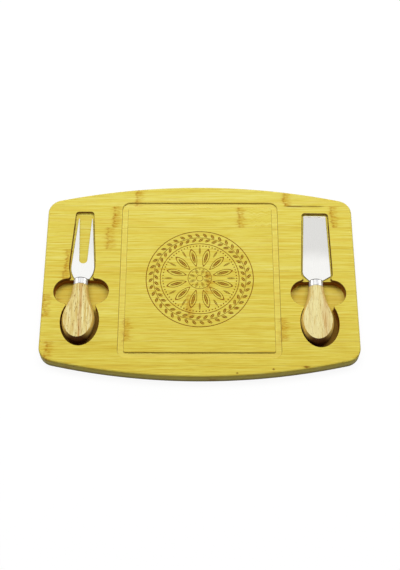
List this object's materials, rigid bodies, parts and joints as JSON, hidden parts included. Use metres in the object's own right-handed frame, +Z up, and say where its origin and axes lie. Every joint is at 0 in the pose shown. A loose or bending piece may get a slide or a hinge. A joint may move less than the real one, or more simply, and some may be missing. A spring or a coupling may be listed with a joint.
{
  "type": "cheese board",
  "caption": "Bamboo cheese board with bowed long edges, a juice groove and routed pockets in which a loose pronged fork and a chisel knife lie.",
  "frame": {"origin": "middle of the underside, on the surface that the board lies on", "axes": "+X towards the board's right-hand end, where the knife lies, +Y towards the far long edge, where the blades point, +Z up"},
  "size_m": [0.33, 0.225, 0.0203],
  "materials": {
    "bamboo": "oiled, satin",
    "handle_wood": "sanded, matt",
    "blade_steel": "satin polished",
    "ferrule_steel": "bright polished"
  },
  "bodies": {
    "board": {"bottom_strip_1": "bamboo", "bottom_strip_2": "bamboo", "bottom_strip_3": "bamboo", "bottom_strip_4": "bamboo", "bottom_strip_5": "bamboo", "bottom_strip_6": "bamboo", "bottom_strip_7": "bamboo", "bottom_strip_8": "bamboo", "bottom_strip_9": "bamboo", "core_strip_1": "bamboo", "core_strip_2": "bamboo", "core_strip_3_left": "bamboo", "core_strip_3_middle": "bamboo", "core_strip_3_right": "bamboo", "core_strip_4_left": "bamboo", "core_strip_4_middle": "bamboo", "core_strip_4_right": "bamboo", "core_strip_5": "bamboo", "core_strip_6": "bamboo", "core_strip_7": "bamboo", "core_strip_8": "bamboo", "core_strip_9": "bamboo", "top_strip_1": "bamboo", "top_strip_2": "bamboo", "top_strip_3_left": "bamboo", "top_strip_3_middle": "bamboo", "top_strip_3_right": "bamboo", "top_strip_4_left": "bamboo", "top_strip_4_middle": "bamboo", "top_strip_4_right": "bamboo", "top_strip_5": "bamboo", "top_strip_6": "bamboo", "top_strip_7": "bamboo", "top_strip_8": "bamboo", "top_strip_9": "bamboo"},
    "fork": {"fork_blade": "blade_steel", "fork_ferrule": "ferrule_steel", "fork_handle": "handle_wood"},
    "chisel_knife": {"chisel_knife_blade": "blade_steel", "chisel_knife_ferrule": "ferrule_steel", "chisel_knife_handle": "handle_wood"}
  },
  "joints": [
    {"name": "fork_lift", "type": "slide", "parent": "board", "child": "fork", "axis": [0, 0, 1], "range_m": [0, 0.03]},
    {"name": "chisel_knife_lift", "type": "slide", "parent": "board", "child": "chisel_knife", "axis": [0, 0, 1], "range_m": [0, 0.03]}
  ]
}
